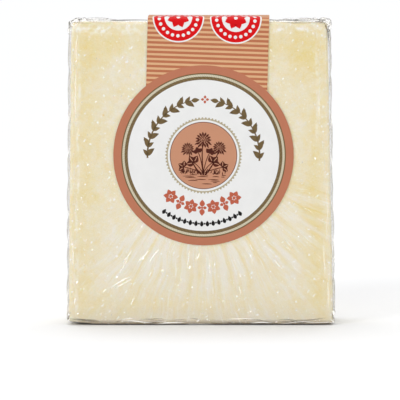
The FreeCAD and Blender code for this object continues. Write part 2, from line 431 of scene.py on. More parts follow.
def film_material():
    """Clear film: it mirrors more at a slant, is greyer edge on, and is finely creased. The
    folds in it carry painted glints, white and glowing a little, and painted shade, a grey tint,
    as much as the mesh says."""
    nodes = Nodes("film")
    place = nodes.place()
    rays = nodes.noise(fan_place(nodes, place, 14.0, 16.0), 1.0, 4.0, 0.6)
    creases = nodes.maths("ADD", rays, nodes.noise(place, 3.2, 4.0, 0.5))
    slant = nodes.add("LayerWeight", {"Blend": 0.5})["Facing"]
    mirror = nodes.line(nodes.maths("POWER", slant, 5.0), 0.45, 0.025)
    tint = nodes.mix(nodes.between(slant, 0.75, 1.0), CLEAR, EDGE_ON)
    # painted shade: a grey tint where the mesh says, for the dark that folded film shows at its outlines
    # and along the base
    tint = nodes.mix(nodes.attribute("painted_shade"), tint, PAINTED_SHADE_TINT)
    clear = nodes.add("BsdfTransparent", {"Color": tint})[0]
    normal = nodes.bump(creases, 0.5, 0.7)
    gloss = {"Color": (0.95, 0.96, 0.97, 1.0), "Roughness": 0.12, "Normal": normal}
    gloss = nodes.add("BsdfGlossy", gloss)[0]
    film = nodes.add("MixShader", {0: mirror, 1: clear, 2: gloss})[0]
    # painted glints: the folds' white glows a little, though it is no lamp
    white = nodes.principled(PAINTED_GLINT_WHITE, 0.25, Emission_Color=PAINTED_GLINT_WHITE, Emission_Strength=0.35)
    fold = nodes.attribute("fold")
    return nodes.finish(nodes.add("MixShader", {0: fold, 1: film, 2: white})[0])


def ink_material(name, screen_colour):
    """Printed coated paper: an even colour with the faint cloud and fibre of paper."""
    nodes = Nodes(name)
    place = nodes.place()
    fibre = nodes.noise(place, 0.35, 2.0)
    light = colour(*(min(255, round(v * 1.02)) for v in screen_colour))
    dark = colour(*(round(v * 0.98) for v in screen_colour))
    base = nodes.mix(nodes.noise(place, 6.0, 3.0), dark, light)
    rough, normal = nodes.line(fibre, 0.12, 0.39), nodes.bump(fibre, 0.02, 0.4)
    return nodes.finish(nodes.principled(base, rough, Specular_IOR_Level=0.12, Normal=normal))


# ---------------------------------------------------------------- the cheese

CHEESE_ROUND = (1.2, 0.8, 1.4, 2.0)
RELIEF_LIMIT = 0.16
# how far the base comes down and the two sides swell out towards the film
CHEESE_SINK, CHEESE_SWELL = 0.35, 0.4


def fan_of(points):
    """Each point's angle round the label's centre, from straight down, and its distance."""
    across, down = points[:, 0] - FACE_X, FACE_Z - points[:, 2]
    return np.arctan2(across, down), np.hypot(across, down)


def ray_zone(slab):
    """0 to 1: how taut the film is over each point of the front, in a fan under the label."""
    angle, distance = fan_of(slab.points)
    front = smooth_step(-slab.out[:, 1], 0.4, 0.9)
    within = 1 - smooth_step(np.abs(angle - 0.25), 0.85, 1.30)
    start = smooth_step(distance, FACE_RADIUS * 0.8, FACE_RADIUS * 1.05)
    fading = 1 - 0.5 * smooth_step(distance, FACE_RADIUS + 14, FACE_RADIUS + 36)
    return front * within * start * fading


def ray_field(slab):
    """-1 to 1 in rays that fan out from under the label, fading out up the sides."""
    angle, distance = fan_of(slab.points)
    bent = angle + 0.035 * noise(slab.points, 16.0, 31)
    thin = np.stack([bent * 24, distance / 26, 0 * bent], axis=1)
    wide = np.stack([bent * 9, distance / 36, 0 * bent], axis=1)
    rays = noise(thin, 1.0, 32) + 0.5 * noise(wide, 1.0, 33)
    fading = 1 - 0.6 * smooth_step(distance, FACE_RADIUS + 10, FACE_RADIUS + 26)
    return np.clip(rays, -1, 1) * ray_zone(slab) * fading


def make_cheese():
    low, high = CHEESE_LOW - (0, 0, CHEESE_SINK), CHEESE_HIGH
    xs = lines(low[0], (low[0] + 10, 0.45), (high[0] - 10, 0.62), (high[0], 0.45))
    ys = lines(low[1], (high[1], 0.62))
    zs = lines(low[2], (low[2] + 40, 0.5), (high[2] - 10, 0.85), (high[2], 0.45))
    swells = zip(CHEESE_SIDES, (-CHEESE_SWELL, CHEESE_SWELL))
    sides = [lambda z, line=line, swell=swell: line(z) + swell for line, swell in swells]
    slab = Slab(low, high, sides, CHEESE_ROUND, xs, ys, zs)
    points = slab.points
    x, _, z = points.T
    left, right = (line(z) for line in sides)
    # how far each point is from the nearest upright edge, and from any edge of the front
    aside = np.minimum(x - left, right - x)
    edge = np.minimum(aside, np.minimum(z - low[2], high[2] - z))
    ray, taut = ray_field(slab), ray_zone(slab)

    relief = 0.10 * fractal(points, 17.0, 2, 1) + 0.05 * fractal(points, 3.0, 3, 5)
    relief += 0.07 * ray
    # the cut edges are a little crumbled
    rim = np.exp(-np.abs(edge) / 1.6)
    relief -= rim * (0.03 + 0.16 * np.abs(fractal(points, 5.0, 3, 9)))
    relief = np.minimum(relief, RELIEF_LIMIT)

    # yellower in a band inside the edges, paler right at them, in the middle and where the
    # film is taut, and whitish along the top, partly a painted highlight of the film's glare and
    # partly the rough cut edge
    corners = hill(np.abs(x), 36, 10) * hill(z, 97, 10)
    yellow_and_painted_light = 0.18 + 0.34 * hill(edge, 6.0, 5.5) + (0.34 + 0.30 * (x > 0)) * corners
    yellow_and_painted_light += 0.22 * fractal(points, 26.0, 3, 15)
    yellow_and_painted_light += 0.75 * ray - 0.12 * taut - 0.05 * hill(edge, 0, 1.8)
    yellow_and_painted_light += 0.16 * hill(x - left, 4.0, 3.0)
    yellow_and_painted_light += 0.40 * hill(right - x, 5.0, 3.6) * smooth_step(95 - z, 0, 50)
    # painted light: paler towards the bottom, away from the upright edges, to make up for the shade that
    # falls there
    yellow_and_painted_light -= 0.28 * np.clip(1 - z / 24, 0, 1) * smooth_step(aside, 4, 16)
    # and deeper yellow as a painted shadow beside the label's right edge and the lower right of its round
    # face
    fan, distance = fan_of(points)
    painted_label_shadow = hill(x - FACE_X, TAIL_WIDTH / 2, 1.6) * (z > FACE_Z)
    painted_label_shadow += hill(distance, FACE_RADIUS, 1.6) * (fan > 0)
    yellow_and_painted_light += 0.45 * np.minimum(painted_label_shadow, 1)
    streaks = noise(points * (0.35, 1, 1), 1.6, 19) + 0.6 * noise(points, 1.1, 20)
    painted_highlight = hill(high[2] - z, 2.7, 1.4) * np.clip(streaks + 0.5, 0, 1)
    # a painted highlight: a pale line a little inside each upright edge, on the right only high up
    for inward, inset, seed, where in (
        (x - left, 3.0, 21, 1),
        (right - x, 4.6, 23, smooth_step(z, 62, 74)),
    ):
        run = np.stack([0 * z, 0 * z + seed, z], axis=1)
        drift = inset + 0.8 * noise(run, 16.0, seed)
        strength = where * np.clip(0.55 + noise(run, 11.0, seed + 1), 0, 1)
        painted_highlight += 0.8 * strength * hill(inward, drift, 0.5)
    made = lifted(points + slab.out * relief[:, None])
    white, near = np.clip(painted_highlight, 0, 1), np.exp(-np.maximum(edge, 0) / 8.0)
    shades = {"yellow_and_painted_light": yellow_and_painted_light, "taut": taut, "white": white, "near": near}
    paint = [cheese_material()]
    new_piece("cheese_slab", "cheese_block", made, slab.quads, "cheese", paint, **shades)


# ---------------------------------------------------------------- the film

FILM_ROUND = (2.4, 1.0, 1.3, 2.4)
FILM_THICKNESS = 0.05


def bulges(heights, seed, low, high, spacing):
    """0 where the film is pinched in and up to 1 between, with a pinch every spacing or so
    from low to high, and each bulge skewed its own way."""
    random = np.random.default_rng(seed)
    pinches = [low]
    while pinches[-1] < high:
        pinches.append(pinches[-1] + spacing * random.uniform(0.65, 1.4))
    made = np.zeros_like(heights)
    for start, end in zip(pinches, pinches[1:]):
        share = np.clip((heights - start) / (end - start), 0, 1)
        skew, size = random.uniform(0.5, 1.9), random.uniform(0.55, 1.0)
        made += size * np.sin(np.pi * share**skew) ** 0.6
    return made


def film_relief(points, out):
    """How far the film stands off its smooth outline: close on the front and back, bulging
    and pinched on the two sides, and gathered along the top and the base."""
    x, y, z = points.T
    relief = -0.10 + 0.05 * fractal(points, 9.0, 3, 41)
    for side, seed in ((-1, 51), (1, 61)):
        facing = smooth_step(side * out[:, 0], 0.25, 0.9)
        slanted = z + 0.35 * y + 1.5 * noise(points, 9.0, seed + 3)
        bulge = bulges(slanted, seed, -12.0, FILM_HIGH[2] + 12, 12.0)
        creases = 1 - 2 * np.abs(noise(points * (1, 0.6, 1), 8.0, seed + 1))
        relief += facing * (0.55 * bulge - 0.56 + 0.08 * creases)
    top = smooth_step(out[:, 2], 0.25, 0.9)
    gathers = bulges(x + 0.3 * y, 71, FILM_LOW[0] - 9, FILM_HIGH[0] + 9, 13.0)
    relief += top * (0.35 * gathers - 0.38 + 0.08 * fractal(points, 5.0, 2, 72))
    crumple = -2 * np.abs(noise(points * (0.7, 1, 1), 5.0, 75))
    return relief + smooth_step(-out[:, 2], 0.15, 0.9) * 0.12 * crumple


class Folds:
    """The folds in the film: closed ridges and pockets, each with so much painted glint (whitish) and
    painted shade (grey).
    """

    def __init__(self, slab):
        self.slab, self.count, self.turned = slab, 0, False
        self.points, self.faces, self.smooth, self.fold, self.painted_shade = [], [], [], [], []

    def keep(self, points, faces, smooth, fold, painted_shade):
        self.faces += [[v + self.count for v in face] for face in faces]
        self.smooth += [smooth] * len(faces)
        self.count += len(points)
        for kept, values in ((self.points, points), (self.fold, fold), (self.painted_shade, painted_shade)):
            kept.append(values)

    def ridge(self, path, width, height, fold=0.0, painted_shade=0.0):
        """A rounded tapered ridge along a path on the unrolled front, or on the back if
        turned. It is flat shaded, so that its narrow sides don't bend all of its light."""
        flat = self.slab.unrolled(path[:, 0], path[:, 1])
        if self.turned:
            flat[:, :2] = (FILM_LOW + FILM_HIGH)[:2] - flat[:, :2]
        points, out = self.slab.surface(flat)
        points = points + out * (film_relief(points, out) - 0.03)[:, None]
        along = np.gradient(points, axis=0)
        along /= np.linalg.norm(along, axis=1, keepdims=True)
        across = np.cross(along, out)
        size = 0.06 + 0.94 * np.sin(math.pi * np.linspace(0, 1, len(path))) ** 0.7
        places = np.array([1, 0.94, 0.66, 0.33, 0, -0.33, -0.66, -0.94, -1])
        profile = 0.5 * (1 + np.cos(math.pi * places))
        aside, rise = np.outer(0.5 * width * size, places), np.outer(height * size, profile)
        made = points[:, None] + across[:, None] * aside[:, :, None] + out[:, None] * rise[:, :, None]
        wide = len(places)
        last = (len(path) - 1) * wide
        faces = quads(len(path), wide)[:, [0, 3, 2, 1]].tolist()
        faces += [range(wide), range(last + wide - 1, last - 1, -1)]
        strength = np.minimum(1, 1.5 * np.outer(size, profile)).ravel()
        self.keep(made.reshape(-1, 3), faces, False, fold * strength, painted_shade * strength)

    def pocket(self, centre, size, turn, painted_shade, fold, seed):
        """A little blown-out pocket of film, with painted shade grey round its rim and painted white
        glints.
        """
        rows, spokes = 9, 18
        tilt = np.linspace(0, math.pi, rows + 2)[1:-1, None]
        turns = np.linspace(0, 2 * math.pi, spokes, endpoint=False)
        across, up = np.sin(tilt) * np.cos(turns), np.sin(tilt) * np.sin(turns)
        way = np.stack([across, -np.cos(tilt) + 0 * turns, up], axis=-1).reshape(-1, 3)
        way = np.concatenate([[(0, -1, 0)], way, [(0, 1, 0)]])
        shape = way * size * (1 + 0.30 * noise(way + seed, 0.9, seed))[:, None]
        cos, sin = math.cos(math.radians(turn)), math.sin(math.radians(turn))
        points = shape @ np.array([[cos, 0, sin], [0, 1, 0], [-sin, 0, cos]]) + centre
        faces = (quads(rows, spokes) + 1).tolist()
        back = len(way) - 1
        for n in range(spokes):
            m = (n + 1) % spokes
            faces += [(0, 1 + m, 1 + n), (back, back - spokes + n, back - spokes + m)]
        away = 1 - np.abs(way[:, 1])
        rim = smooth_step(away, 0.35, 0.8) * (1 - 0.7 * smooth_step(away, 0.85, 0.98))
        glint = smooth_step(noise(way + 3 * seed, 0.8, seed + 1), 0.15, 0.4)
        self.keep(points, faces, True, fold * glint * (1 - rim), painted_shade * (0.04 + 0.96 * rim))

    def line(self, start, end, width, height, fold, painted_shade=0.0, bow=0.0):
        """A ridge from start to end, bowed sideways by that share of its length."""
        start, end = np.array(start), np.array(end)
        count = max(4, round(np.linalg.norm(end - start) / 0.7) + 1)
        share = np.linspace(0, 1, count)[:, None]
        aside = np.array([start[1] - end[1], end[0] - start[0]]) * bow
        path = start + share * (end - start) + np.sin(math.pi * share) * aside
        self.ridge(path, width, height, fold, painted_shade)


# the strongest folds on the front, from one end to the other, with their width and whiteness, which is a
# painted glint
MAIN_FOLDS = (
    ((-30.4, 17.4), (-26.0, 25.4), 0.34, 0.35),
    ((-30.6, 17.0), (-29.9, 18.0), 0.70, 1.00),
    ((-33.2, 13.0), (-24.9, 17.9), 0.36, 0.75),
    ((-31.6, 13.3), (-24.3, 17.3), 0.32, 0.60),
    ((-35.6, 11.6), (-33.8, 13.4), 0.36, 0.70),
    ((-25.3, 7.0), (-23.7, 10.4), 0.40, 0.60),
    ((-22.3, 23.2), (-18.4, 27.6), 0.40, 0.70),
    ((-19.0, 22.0), (-14.6, 27.9), 0.36, 0.60),
    ((-21.2, 23.6), (-20.4, 24.7), 0.55, 1.00),
    ((-4.4, 20.3), (-3.6, 21.7), 0.62, 1.00),
    ((-1.7, 23.4), (-0.2, 26.4), 0.36, 0.75),
    ((4.6, 20.8), (5.6, 23.2), 0.34, 0.60),
    ((-45.1, 14.9), (-44.2, 16.2), 0.50, 1.00),
    ((-44.8, 3.4), (-43.9, 4.3), 0.50, 0.95),
    ((-45.8, 7.0), (-45.0, 10.4), 0.40, 0.60),
    ((-41.3, 57.4), (-40.7, 58.6), 0.48, 0.90),
    ((-42.2, 50.3), (-41.6, 51.4), 0.42, 0.90),
    ((-43.6, 45.6), (-43.1, 46.6), 0.42, 0.80),
    ((-3.2, 13.4), (-2.9, 14.2), 0.50, 0.90),
    ((35.2, 31.8), (35.7, 32.4), 0.50, 1.00),
)
FLAT_RIDGE = 0.05


def front_folds(folds):
    """The folds on the front: rays under the label, and dashes, all with painted white glints."""
    random = np.random.default_rng(91)
    draw = random.uniform
    for start, end, width, fold in MAIN_FOLDS:
        folds.line(start, end, 1.5 * width, 0.055, fold, bow=draw(-0.06, 0.06))
    # the rays fan out from under the label
    centre = np.array([FACE_X, FACE_Z])
    for _ in range(16):
        angle = math.radians(draw(-42, 66))
        near = draw(FACE_RADIUS + 0.5, FACE_RADIUS + 16)
        way = np.array([math.sin(angle), -math.cos(angle)])
        start, end = centre + near * way, centre + (near + draw(1.5, 7)) * way
        if end[1] > 3.5 and abs(end[0]) < 43:
            width, fold = draw(0.30, 0.60), draw(0.25, 0.7)
            folds.line(start, end, width, FLAT_RIDGE, fold, bow=draw(-0.05, 0.08))
    # short dashes, most of them near the edges and none under the label
    low, high = FILM_LOW, FILM_HIGH
    placed = 0
    while placed < 60:
        x, z = draw(low[0] + 2.5, high[0] - 2.5), draw(3, high[2] - 3)
        edge = min(x - low[0], high[0] - x, z, high[2] - z)
        under_tail = z > FACE_Z and abs(x - FACE_X) < TAIL_WIDTH / 2 + 1
        hidden = under_tail or math.hypot(x - FACE_X, z - FACE_Z) < FACE_RADIUS
        if hidden or draw() > 0.25 + 0.75 * math.exp(-edge / 7):
            continue
        placed += 1
        lean = 48 if x < 8 else random.choice((-55, 50))
        angle = lean + random.normal(0, 18)
        half = at_polar(0.5 * draw(0.4, 1.7), angle)
        folds.line((x, z) - half, (x, z) + half, draw(0.30, 0.75), FLAT_RIDGE, draw(0.35, 1.0))


def wavy(start, end, seed, wave, step=0.8):
    """A path from start to end that waves from side to side."""
    start, end = np.array(start), np.array(end)
    length = np.linalg.norm(end - start)
    share = np.linspace(0, 1, max(5, round(length / step)))
    way = (end - start) / length
    run = np.stack([share * length, 0 * share + seed, 0 * share], axis=1)
    aside = wave * noise(run, 6.0, seed)
    return start + share[:, None] * (end - start) + aside[:, None] * (-way[1], way[0])


def edge_folds(folds, seed):
    """The folds along the edges: down both sides, along the top and along the base."""
    low, high = FILM_LOW, FILM_HIGH
    random = np.random.default_rng(seed)
    draw = random.uniform
    for side, inward, first in ((low[0], 1, seed + 1), (high[0], -1, seed + 31)):
        z, n = 4.0, 0
        while z < high[2] - 6:
            end = min(z + draw(9, 26), high[2] - 3)
            inset = draw(2.6, 4.2) + (1.6 if inward < 0 and z > 55 else 0)
            lean = draw(-0.7, 0.7)
            foot, head = side + inward * inset, side + inward * (inset + lean)
            path = wavy((foot, z), (head, end), first + n, 0.5)
            folds.ridge(path, draw(0.5, 0.9), FLAT_RIDGE, draw(0.05, 0.3))
            z, n = end - draw(1, 4), n + 1
        # outside those, creases that run round on to the side
        for n in range(26):
            z = draw(2, high[2] - 2)
            rise = draw(2, 9) * random.choice((-1, 1))
            start = (side + inward * draw(0.4, 1.6), z)
            end = (side - inward * draw(1.5, 5.5), z + rise)
            path = wavy(start, end, first + 40 + n, 0.4, 0.5)
            fold, painted_shade = random.choice(((0.0, 0.2), (0.9, 0.0), (0.0, 0.1)))
            folds.ridge(path, draw(0.25, 0.55), 0.16, fold, painted_shade)
    for n in range(40):
        x, half, z = draw(low[0] + 3, high[0] - 3), draw(2.5, 9), high[2] + draw(-1.4, 3.0)
        path = wavy((x - half, z), (x + half, z + draw(-0.8, 0.8)), seed + 70 + n, 0.5)
        path[:, 0] = np.clip(path[:, 0], low[0] + 1, high[0] - 1)
        if abs(x - FACE_X) > TAIL_WIDTH / 2 + half + 1:
            fold, painted_shade = random.choice(((0.0, 0.6), (0.8, 0.0), (0.0, 0.3)))
            folds.ridge(path, draw(0.3, 0.6), 0.14, fold, painted_shade)
    for n in range(44):
        x, half, z = draw(low[0] + 3, high[0] - 3), draw(1, 6.5), draw(-0.6, 2.4)
        path = wavy((x - half, z), (x + half, z + draw(-0.9, 0.9)), seed + 120 + n, 0.4, 0.5)
        fold, painted_shade = random.choice(((0.7, 0.0), (0.0, 0.6), (0.0, 0.4), (0.0, 0.5)))
        folds.ridge(path, draw(0.25, 0.6), 0.08, fold, painted_shade)


def back_folds(folds):
    """The overlap of the film down the back, and loose creases beside it."""
    random = np.random.default_rng(113)
    draw = random.uniform
    low, high = FILM_LOW, FILM_HIGH
    for x, width, fold in ((-30.5, 0.9, 0.75), (-29.2, 0.4, 0.35), (-36.8, 0.5, 0.45)):
        path = wavy((x, 2.0), (x + 0.8, high[2] - 2), 301 + round(width * 10), 0.35)
        folds.ridge(path, width, 0.07, fold)
    for _ in range(46):
        x, z = draw(low[0] + 4, high[0] - 4), draw(4, high[2] - 6)
        if abs(x) < TAIL_WIDTH / 2 + 3 and z > 55:
            continue
        angle = random.normal(80, 35)
        half = at_polar(0.5 * draw(1.5, 8), angle)
        width, fold, bow = draw(0.3, 0.6), draw(0.2, 0.6), draw(-0.1, 0.1)
        folds.line((x, z) - half, (x, z) + half, width, FLAT_RIDGE, fold, bow=bow)


# the pockets of loose film along the front edges: middle, half sizes across and up, turn in
# degrees, greyness (painted shade) and whiteness (painted glints)
POCKETS = (
    ((-45.1, 108.7), (2.0, 1.7), 20, 0.75, 0.9),
    ((-47.1, 105.7), (0.6, 1.3), 5, 0.50, 1.0),
    ((-42.2, 109.7), (1.1, 0.6), 25, 0.30, 1.0),
    ((-36.0, 109.7), (5.2, 0.6), 1, 0.40, 0.3),
    ((39.0, 109.7), (5.0, 0.7), -2, 0.75, 0.3),
    ((45.0, 108.9), (1.7, 1.5), -30, 0.70, 1.0),
    ((43.6, 109.7), (1.5, 0.6), -12, 0.95, 0.4),
    ((46.1, 107.6), (0.7, 1.5), -5, 0.60, 0.9),
    ((45.4, 107.0), (0.4, 1.5), 12, 1.00, 0.0),
    ((45.9, 104.2), (0.55, 2.2), 6, 0.95, 0.5),
    ((-47.7, 2.8), (0.6, 1.6), -8, 0.60, 0.9),
    ((-47.2, 6.9), (0.5, 2.4), 4, 0.45, 0.4),
    ((47.8, 3.7), (0.6, 1.8), -6, 0.60, 0.9),
    ((47.2, 8.2), (0.5, 2.3), 3, 0.50, 0.5),
    ((45.2, 0.9), (1.3, 0.5), 4, 0.25, 1.0),
    ((39.0, 0.9), (3.0, 0.5), 3, 0.30, 0.4),
)

# pleats at the upper corners, dark with painted shade: from one end to the other, width and greyness
PLEATS = (
    ((42.2, 109.7), (46.3, 108.9), 0.50, 1.0),
    ((46.0, 109.3), (47.9, 105.2), 0.60, 1.0),
    ((47.0, 106.8), (48.3, 101.0), 0.55, 1.0),
    ((47.9, 105.6), (48.7, 99.8), 0.40, 0.8),
    ((45.0, 110.6), (47.5, 109.2), 0.45, 0.8),
    ((-48.4, 109.2), (-48.7, 105.0), 0.50, 0.9),
    ((-45.9, 110.3), (-42.7, 109.4), 0.40, 0.7),
    ((-48.1, 109.3), (-45.9, 110.9), 0.40, 0.7),
)


def corner_folds(folds):
    """The gathered film at the corners: pockets, and pleats that run together over them."""
    low, high = FILM_LOW, FILM_HIGH
    draw = np.random.default_rng(103).uniform
    for n, ((x, z), (wide, tall), turn, painted_shade, fold) in enumerate(POCKETS):
        deep = 0.9 * min(wide, tall) + draw(0.1, 0.5)
        size = (wide, deep, tall)
        front, back = (x, low[1] + deep + 0.3, z), (-x * 0.995, high[1] - deep - 0.3, z)
        folds.pocket(front, size, turn, painted_shade, fold, 301 + 3 * n)
        folds.pocket(back, size, -turn, painted_shade, fold, 401 + 3 * n)
    for start, end, width, painted_shade in PLEATS:
        folds.line(start, end, width, 0.12, 0.0, painted_shade, draw(-0.05, 0.05))
    for x, z, inward, down, count in (
        (low[0], high[2], 1, -1, 3),
        (high[0], high[2], -1, -1, 5),
        (low[0], low[2], 1, 1, 3),
        (high[0], low[2], -1, 1, 3),
    ):
        for n in range(count):
            share = (n + 0.5) / count
            reach = draw(2.2, 5.0)
            start = (x + inward * reach * (0.3 + share), z + down * reach * (1.3 - share))
            end = (x - inward * (0.5 + 1.5 * (1 - share)), z - down * (0.5 + 1.5 * share))
            path = wavy(start, end, 210 + n, 0.6, 0.45)
            fold, painted_shade = ((0.0, 0.75), (0.9, 0.0), (0.3, 0.4))[n % 3]
            folds.ridge(path, draw(0.35, 0.75), 0.22, fold, painted_shade)


def make_film():
    low, high = FILM_LOW, FILM_HIGH
    xs = lines(low[0], (low[0] + 9, 0.55), (high[0] - 9, 1.2), (high[0], 0.55))
    ys = lines(low[1], (high[1], 0.8))
    zs = lines(low[2], (low[2] + 9, 0.55), (high[2] - 9, 1.2), (high[2], 0.55))
    slab = Slab(low, high, FILM_SIDES, FILM_ROUND, xs, ys, zs)
    outer = slab.points + slab.out * film_relief(slab.points, slab.out)[:, None]
    points = lifted(np.concatenate([outer, outer - slab.out * FILM_THICKNESS]))
    faces = [*slab.quads, *(slab.quads[:, ::-1] + len(outer))]
    # painted shade: the film is tinted grey where it turns away at its outline, most of all along the top
    out_x, out_y, out_z = slab.out.T
    turned = 1 - np.abs(out_y)
    rim = 0.10 + 0.06 * np.maximum(out_x, 0) + 0.12 * np.maximum(out_z, 0)
    rim *= smooth_step(turned, 0.35, 0.7) * (1 - smooth_step(turned, 0.85, 1.0))
    rim *= smooth_step(slab.points[:, 2], 1.5, 4.0)
    shades = {"fold": np.zeros(len(points)), "painted_shade": np.concatenate([rim, rim])}
    paint = [film_material()]
    new_piece("film_shell", "film_wrap", points, faces, "film", paint, **shades)

    folds = Folds(slab)
    front_folds(folds)
    edge_folds(folds, 97)
    corner_folds(folds)
    folds.turned = True
    edge_folds(folds, 607)
    back_folds(folds)
    points = lifted(np.concatenate(folds.points))
    shades = {"fold": np.concatenate(folds.fold), "painted_shade": np.concatenate(folds.painted_shade)}
    new_piece(
        "film_folds", "film_wrap", points, folds.faces, "film", paint, smooth=folds.smooth, **shades
    )


# ---------------------------------------------------------------- the label

PAPER = 0.15
INK = 0.02
PAPER_GAP = 0.05
LABEL_TURN = math.radians(1.5)
TAIL_WIDTH, TAIL_OFFSET = 43.4, 0.5
TAIL_RISE = 1.0 - PAPER
TAIL_END_HEIGHT = 60.0
FOLD_RADIUS = 2.25


class Profile:
    """The line that the label's inside follows: up the front, over the top, down the back.
    Along it runs a distance that is 0 at the height of the label's round face."""

    def __init__(self):
        self.half = LABEL_HIGH[1] - PAPER
        self.crown = LABEL_HIGH[2] - PAPER
        self.arch = (self.half**2 + TAIL_RISE**2) / (2 * TAIL_RISE)
        arch_half = math.asin((self.half - FOLD_RADIUS) / (self.arch - FOLD_RADIUS))
        centre = self.crown - self.arch
        self.fold_z = centre + (self.arch - FOLD_RADIUS) * math.cos(arch_half)
        self.fold_turn = math.pi / 2 - arch_half
        self.front = self.fold_z - FACE_Z
        self.over = self.front + FOLD_RADIUS * self.fold_turn
        self.middle = self.over + self.arch * arch_half

    def at(self, along):
        """y, z and the outward direction there, for distances along the line."""
        mirrored = np.where(along > self.middle, -1, 1)
        along = np.where(mirrored < 0, 2 * self.middle - along, along)
        arched = along > self.over
        turn = np.clip((along - self.front) / FOLD_RADIUS, 0, self.fold_turn)
        angle = np.where(arched, self.fold_turn + (along - self.over) / self.arch, turn)
        radius = np.where(arched, self.arch, FOLD_RADIUS)
        centre_y = np.where(arched, 0.0, FOLD_RADIUS - self.half)
        centre_z = np.where(arched, self.crown - self.arch, self.fold_z)
        centre_z = np.where(along < self.front, FACE_Z + along, centre_z)
        out_y, out_z = -np.cos(angle), np.sin(angle)
        y, z = centre_y + radius * out_y, centre_z + radius * out_z
        return y * mirrored, z, out_y * mirrored, out_z


PROFILE = Profile()
TAIL_END = PROFILE.middle * 2 - (TAIL_END_HEIGHT - FACE_Z)


def wrapped(flat, height):
    """Places points of the flat label, whose origin is the round face's centre, on the pack,
    height above the paper's inside."""
    across, along = flat[:, 0], flat[:, 1]
    cos, sin = math.cos(LABEL_TURN), math.sin(LABEL_TURN)
    x = FACE_X + across * cos + along * sin
    line = along * cos - across * sin
    y, z, out_y, out_z = PROFILE.at(line)
    wave = 0.05 * noise(np.stack([x, line, 0 * x], axis=1), 17.0, 81)
    lift = height + PAPER_GAP + wave
    return np.stack([x, y + out_y * lift, z + out_z * lift], axis=1)


def polar(inner, outer, rings, spokes):
    """A flat ring, or a disc if inner is 0, as points and faces."""
    radii = np.linspace(inner, outer, rings + 1)
    if inner == 0:
        radii = radii[1:]
    angles = np.arange(spokes) * 2 * math.pi / spokes
    points = [on_circle(radius, angles) for radius in radii]
    faces = quads(len(radii), spokes).tolist()
    if inner == 0:
        points.append([(0.0, 0.0)])
        faces += [(len(radii) * spokes, n, (n + 1) % spokes) for n in range(spokes)]
    return np.concatenate(points), faces


def grid(rows):
    """A flat grid from rows of points, all equally long."""
    rows = np.asarray(rows)
    return rows.reshape(-1, 2), quads(*rows.shape[:2], closed=False).tolist()


def leaf(base, tip, width, bend=0.0, along=8, across=2):
    """A pointed leaf from base to tip, bent sideways by that share of its length."""
    base, tip = np.array(base), np.array(tip)
    way = tip - base
    aside = np.array([-way[1], way[0]])
    share = np.linspace(0, 1, along + 1)[:, None]
    middle = base + share * way + bend * np.sin(math.pi * share) * aside
    half = 0.5 * (0.03 + width * np.sin(math.pi * share**0.8)) / np.linalg.norm(way)
    return grid([middle + half * aside * (2 * n / across - 1) for n in range(across + 1)])


def stroke(path, widths):
    """A line of varying width along a path of points."""
    path = np.asarray(path)
    way = np.gradient(path, axis=0)
    way /= np.linalg.norm(way, axis=1, keepdims=True)
    across = np.stack([-way[:, 1], way[:, 0]], axis=1)
    half = 0.5 * np.broadcast_to(widths, len(path))[:, None] * across
    return grid([path + half, path - half])


def moved(shape, at, turn=0.0):
    points, faces = shape
    cos, sin = math.cos(turn), math.sin(turn)
    return points @ np.array([[cos, sin], [-sin, cos]]) + at, faces


class Print:
    """The label's layers, all in one mesh: each is a thin closed plate."""

    def __init__(self):
        self.points, self.faces, self.numbers, self.count = [], [], [], 0

    def plate(self, shape, low, high, numbers, under=None):
        """Adds a flat shape as a plate between two heights, with one material number for all
        or one for each face. Its lower side and edges take the material under, if given."""
        flat, faces = shape
        count = len(flat)
        if isinstance(numbers, int):
            numbers = [numbers] * len(faces)
        under = numbers[0] if under is None else under
        edges = {}
        for face in faces:
            for a, b in zip(face, (*face[1:], face[0])):
                if (b, a) in edges:
                    del edges[b, a]
                else:
                    edges[a, b] = True
        made = list(zip(faces, numbers))
        made += [([v + count for v in reversed(face)], under) for face in faces]
        made += [((b, a, a + count, b + count), under) for a, b in edges]
        for face, number in made:
            self.faces.append([v + self.count for v in face])
            self.numbers.append(number)
        self.points += [wrapped(flat, high), wrapped(flat, low)]
        self.count += 2 * count

    def ink(self, shape, numbers, level=1):
        """Prints a shape. A higher level lies over the lower ones."""
        top = PAPER + level * INK
        self.plate(shape, top - 1.5 * INK, top, numbers)


def joined(*parts):
    """Flat shapes with a number for each face as one, with the points they share joined and
    the faces that have no area left out."""
    points = np.concatenate([shape[0] for shape, _ in parts])
    rounded = np.round(points, 4)
    _, first, back = np.unique(rounded, axis=0, return_index=True, return_inverse=True)
    back = back.ravel().tolist()
    faces, numbers, start = [], [], 0
    for (own, own_faces), own_numbers in parts:
        for face, number in zip(own_faces, own_numbers):
            kept = list(dict.fromkeys(back[v + start] for v in face))
            if len(kept) > 2:
                faces.append(kept)
                numbers.append(number)
        start += len(own)
    return (points[first], faces), numbers


STRIPE_PITCH, LIGHT_SHARE = 1.693, 0.46
STRIPE_START, STRIPE_SLOPE = 23.42, math.tan(math.radians(-0.45))
COLUMN_STEP = 0.75


def tail_columns():
    """The tail's columns across, and how high the round face's edge is over each."""
    left, right = TAIL_OFFSET - TAIL_WIDTH / 2, TAIL_OFFSET + TAIL_WIDTH / 2
    columns = np.linspace(left, right, round(TAIL_WIDTH / COLUMN_STEP) + 1)
    return columns, np.sqrt(FACE_RADIUS**2 - columns**2)


